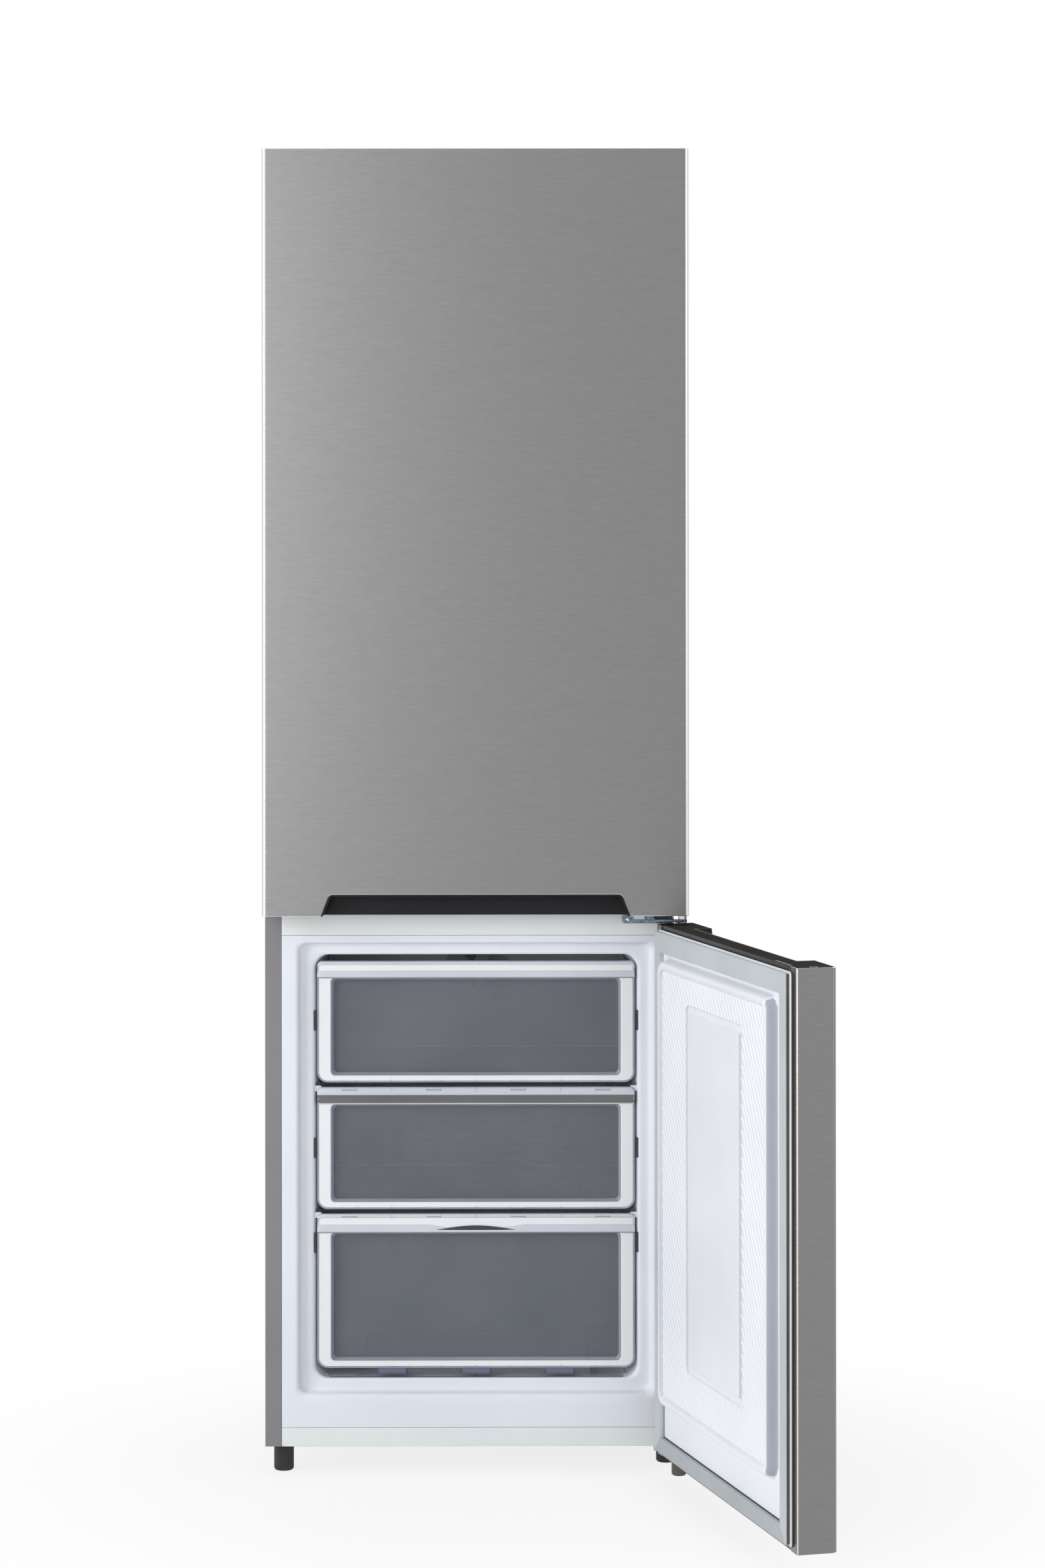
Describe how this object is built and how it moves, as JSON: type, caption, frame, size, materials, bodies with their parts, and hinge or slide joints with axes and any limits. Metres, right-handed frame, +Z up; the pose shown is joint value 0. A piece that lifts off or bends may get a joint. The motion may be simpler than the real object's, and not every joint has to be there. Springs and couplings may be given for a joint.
{
  "type": "bottom freezer refrigerator",
  "caption": "Upright refrigerator with a fridge above and a freezer with sliding drawers below, doors hinged on the right, on levelling feet and rear rollers.",
  "frame": {"origin": "middle of the base of the whole box, with the fridge door shut and the freezer door open", "axes": "+Z up, +Y from the doors to the back, +X to the right as seen from the front"},
  "size_m": [0.7562, 1.1644, 1.8647],
  "materials": {
    "steel": "brushed across, satin",
    "paint": "textured grey paint",
    "rail": "satin white",
    "liner": "satin",
    "door_liner": "satin",
    "gasket": "matte",
    "cap": "glossy dark",
    "grip": "matte dark",
    "clear_plastic": "clear",
    "white_plastic": "satin",
    "glass": "clear",
    "foam": "matte",
    "sheet": "galvanised",
    "zinc": "blue zinc",
    "aluminium": "satin",
    "dark_metal": "satin black",
    "condenser": "satin black",
    "foot": "matte black",
    "hinge_foot": "matte grey"
  },
  "bodies": {
    "cabinet": {"cabinet_wrap": "paint", "cabinet_foam": "foam", "fridge_liner": "liner", "freezer_liner": "liner", "middle_rail": "rail", "bottom_rail": "rail", "back_panel": "sheet", "room_panel": "sheet", "shelf_lower": "glass", "shelf_middle": "glass", "shelf_upper": "glass", "crisper_cover": "glass", "air_duct": "white_plastic", "control_box": "white_plastic", "freezer_shelf_upper": "glass", "freezer_shelf_lower": "glass", "freezer_rear_cover": "liner", "evaporator": "aluminium", "fan_motor": "dark_metal", "top_hinge_bracket": "zinc", "top_hinge_cover": "cap", "middle_hinge_bracket": "zinc", "hinge_spacer": "white_plastic", "bottom_hinge_bracket": "zinc", "base_plate": "sheet", "front_foot_left": "foot", "front_foot_right": "foot", "hinge_foot": "hinge_foot", "compressor": "dark_metal", "drain_pan": "foot", "condenser": "condenser"},
    "fridge_door": {"fridge_door_skin": "steel", "fridge_door_foam": "foam", "fridge_door_top_cap": "cap", "fridge_door_bottom_cap": "cap", "fridge_door_grip": "grip", "fridge_door_liner": "door_liner", "fridge_door_dyke": "door_liner", "fridge_door_gasket": "gasket", "door_bin_lower": "clear_plastic", "door_bin_middle": "clear_plastic", "door_bin_upper": "clear_plastic"},
    "freezer_door": {"freezer_door_skin": "steel", "freezer_door_foam": "foam", "freezer_door_top_cap": "cap", "freezer_door_bottom_cap": "cap", "freezer_door_grip": "grip", "freezer_door_liner": "door_liner", "freezer_door_gasket": "gasket"},
    "drawer_top": {"drawer_top_basket": "clear_plastic", "drawer_top_front": "clear_plastic"},
    "drawer_middle": {"drawer_middle_basket": "clear_plastic", "drawer_middle_front": "clear_plastic"},
    "drawer_bottom": {"drawer_bottom_basket": "clear_plastic", "drawer_bottom_front": "clear_plastic"},
    "crisper": {"crisper_drawer": "clear_plastic"},
    "knob": {"thermostat_knob": "rail"},
    "fan": {"evaporator_fan": "white_plastic"},
    "left_roller": {"roller_left": "white_plastic"},
    "right_roller": {"roller_right": "white_plastic"}
  },
  "joints": [
    {"name": "fridge_door_hinge", "type": "hinge", "parent": "cabinet", "child": "fridge_door", "pos_m": [0.20244, -0.0152, 0.78375], "axis": [0, 0, 1], "range_deg": [0, 115]},
    {"name": "freezer_door_hinge", "type": "hinge", "parent": "cabinet", "child": "freezer_door", "pos_m": [0.20244, -0.0152, 0.4], "axis": [0, 0, 1], "range_deg": [-105, 20]},
    {"name": "drawer_top_slide", "type": "slide", "parent": "cabinet", "child": "drawer_top", "axis": [0, -1, 0], "range_m": [0, 0.28]},
    {"name": "drawer_middle_slide", "type": "slide", "parent": "cabinet", "child": "drawer_middle", "axis": [0, -1, 0], "range_m": [0, 0.28]},
    {"name": "drawer_bottom_slide", "type": "slide", "parent": "cabinet", "child": "drawer_bottom", "axis": [0, -1, 0], "range_m": [0, 0.22]},
    {"name": "crisper_slide", "type": "slide", "parent": "cabinet", "child": "crisper", "axis": [0, -1, 0], "range_m": [0, 0.1205]},
    {"name": "thermostat_turn", "type": "hinge", "parent": "cabinet", "child": "knob", "pos_m": [-0.08056, 0.1213, 1.7916], "axis": [0, 1, 0], "range_deg": [0, 270]},
    {"name": "fan_spin", "type": "hinge", "parent": "cabinet", "child": "fan", "pos_m": [-0.08056, 0.4543, 0.6575], "axis": [0, 1, 0], "continuous": true},
    {"name": "roller_left_spin", "type": "hinge", "parent": "cabinet", "child": "left_roller", "pos_m": [-0.31506, 0.5256, 0.015], "axis": [1, 0, 0], "continuous": true},
    {"name": "roller_right_spin", "type": "hinge", "parent": "cabinet", "child": "right_roller", "pos_m": [0.15394, 0.5256, 0.015], "axis": [1, 0, 0], "continuous": true}
  ],
  "couplings": [
    {"joint": "crisper_slide", "follows": "fridge_door_hinge", "m_per_rad": 0.06}
  ]
}
